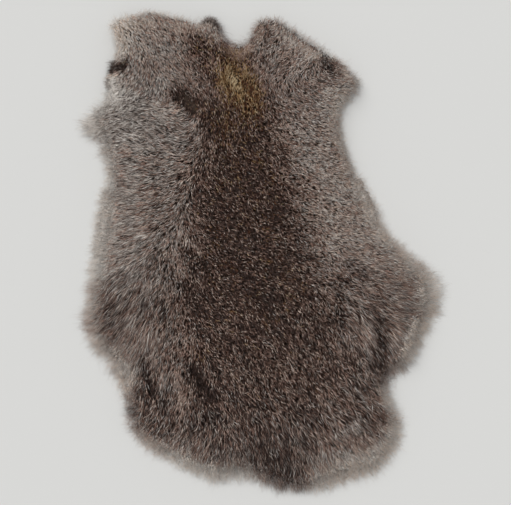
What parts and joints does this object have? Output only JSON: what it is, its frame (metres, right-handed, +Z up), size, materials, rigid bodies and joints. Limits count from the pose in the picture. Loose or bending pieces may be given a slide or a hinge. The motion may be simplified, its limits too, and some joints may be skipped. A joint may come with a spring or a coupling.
{
  "type": "rabbit skin",
  "caption": "Tanned rabbit skin lying flat with its hair side up: a thin leather hide under a lumpy coat of agouti fur that hangs past its cut edge in tapered locks.",
  "frame": {"origin": "on the surface the skin lies on, under the middle of its bounding box", "axes": "+Y along the back towards the neck end, +X to the right as seen from above with the neck end up, +Z up out of the hair side"},
  "size_m": [0.2888, 0.3862, 0.0199],
  "materials": {
    "leather": "tanned suede flesh side, matt, cream to pale tan",
    "fur": "agouti rabbit fur, grey-brown with pale ticked tips and a darker brown back"
  },
  "bodies": {
    "root": {"hide_leather": "leather", "fur_coat": "fur"}
  },
  "joints": []
}
